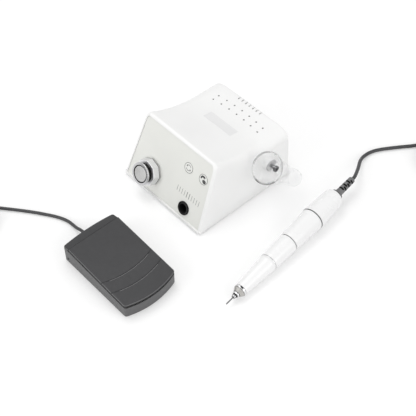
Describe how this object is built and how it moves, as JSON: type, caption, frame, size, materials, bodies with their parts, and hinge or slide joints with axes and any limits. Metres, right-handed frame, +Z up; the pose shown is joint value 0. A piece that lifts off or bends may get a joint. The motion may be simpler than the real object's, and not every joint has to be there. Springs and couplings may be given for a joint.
{
  "type": "nail drill machine",
  "caption": "Salon nail drill set: a control box with speed knob and buttons, a swivel holder, a slim motor handpiece with a slotted cord relief, and a hinged foot pedal.",
  "frame": {"origin": "middle of the footprint of box, pedal and handpiece as they lie, on the table under their feet; the free cords are left out of that footprint", "axes": "+Z up, the front panel of the control box faces -Y, +X to the right seen from the front"},
  "size_m": [0.3547, 0.5166, 0.079],
  "materials": {
    "white_shell": "smooth white moulding",
    "panel": "warm off-white front",
    "white_button": "satin white",
    "pedal_grey": "dark grey, finely grained",
    "black_plastic": "black moulding",
    "black_rubber": "soft black",
    "grey_rubber": "soft grey",
    "chrome": "bright plated",
    "satin_metal": "satin, turned",
    "steel": "plain steel",
    "clear": "clear moulding",
    "copper": "wound copper",
    "gold": "plated contact",
    "core_iron": "stacked sheet",
    "board_green": "circuit board",
    "capacitor_blue": "sleeved can",
    "trim_dark": "dark bright trim"
  },
  "bodies": {
    "set": {"housing": "white_shell", "base_plate": "white_shell", "front_panel": "panel", "rubber_feet": "grey_rubber", "case_screws": "steel", "potentiometer": "steel", "button_switches": "black_plastic", "control_board": "board_green", "handpiece_socket": "black_plastic", "socket_contacts": "gold", "transformer_core": "core_iron", "transformer_coil": "copper", "transformer_strap": "steel", "power_board": "board_green", "main_capacitor": "capacitor_blue", "power_switch": "black_plastic", "mains_inlet": "black_plastic", "inlet_pins": "steel", "pedal_jack": "black_plastic", "holder_screw": "steel", "holder_washer": "steel", "nose_cap": "satin_metal", "nose_cone": "white_shell", "trim_rings": "trim_dark", "middle_body": "white_shell", "rear_cap": "white_shell", "spindle_bearings": "steel", "motor_can": "steel", "carbon_brushes": "black_plastic", "strain_relief": "black_rubber", "pedal_base": "pedal_grey", "pedal_rear_strip": "pedal_grey", "pivot_pin": "steel", "return_spring": "steel", "foot_switch": "black_plastic", "pedal_feet": "black_rubber", "pedal_grommet": "black_rubber", "handpiece_cord": "black_rubber", "handpiece_cord_coil": "black_rubber", "handpiece_plug": "black_plastic", "pedal_cord": "black_rubber", "pedal_cord_coil": "black_rubber", "pedal_plug": "black_plastic", "cord_ties": "black_plastic"},
    "knob": {"speed_knob": "chrome", "knob_cap": "satin_metal", "potentiometer_shaft": "steel"},
    "direction_key": {"direction_button": "white_button"},
    "hand_foot_key": {"hand_foot_button": "white_button"},
    "rocker": {"power_rocker": "black_plastic"},
    "holder": {"handpiece_holder": "clear"},
    "chuck": {"chuck_ring": "white_shell"},
    "rotor": {"spindle": "steel", "collet": "steel", "bit_shank": "steel", "armature": "copper"},
    "treadle": {"pedal_plate": "pedal_grey"},
    "plunger": {"switch_plunger": "black_plastic"}
  },
  "joints": [
    {"name": "knob_turn", "type": "hinge", "parent": "set", "child": "knob", "pos_m": [-0.0713, -0.02018, 0.0271], "axis": [0, 0.9272, -0.3746], "range_deg": [0, 280]},
    {"name": "direction_press", "type": "slide", "parent": "set", "child": "direction_key", "axis": [0, 0.9272, -0.3746], "range_m": [0, 0.0006], "stiffness_N_per_m": 2500, "springref_m": -0.0004},
    {"name": "hand_foot_press", "type": "slide", "parent": "set", "child": "hand_foot_key", "axis": [0, 0.9272, -0.3746], "range_m": [0, 0.0006], "stiffness_N_per_m": 2500, "springref_m": -0.0004},
    {"name": "rocker_tilt", "type": "hinge", "parent": "set", "child": "rocker", "pos_m": [-0.0803, 0.108, 0.03], "axis": [1, 0, 0], "range_deg": [0, 20]},
    {"name": "holder_swivel", "type": "hinge", "parent": "set", "child": "holder", "pos_m": [0.0347, 0.0797, 0.037], "axis": [1, 0, 0], "range_deg": [-40, 45]},
    {"name": "chuck_twist", "type": "hinge", "parent": "set", "child": "chuck", "pos_m": [0.0997, -0.0412, 0.0079], "axis": [-0.1096, 0.9929, 0.0454], "range_deg": [0, 60]},
    {"name": "spindle_spin", "type": "hinge", "parent": "set", "child": "rotor", "pos_m": [0.0997, -0.0412, 0.0079], "axis": [-0.1096, 0.9929, 0.0454], "continuous": true},
    {"name": "pedal_press", "type": "hinge", "parent": "set", "child": "treadle", "pos_m": [-0.0478, -0.112, 0.0062], "axis": [0, 1, 0], "range_deg": [0, 1.5], "stiffness_Nm_per_rad": 3, "springref_deg": -5.73, "deforming": ["return_spring"]},
    {"name": "plunger_slide", "type": "slide", "parent": "set", "child": "plunger", "axis": [0, 0, -1], "range_m": [0, 0.0009]}
  ],
  "couplings": [
    {"joint": "plunger_slide", "follows": "pedal_press", "m_per_rad": 0.0315}
  ]
}
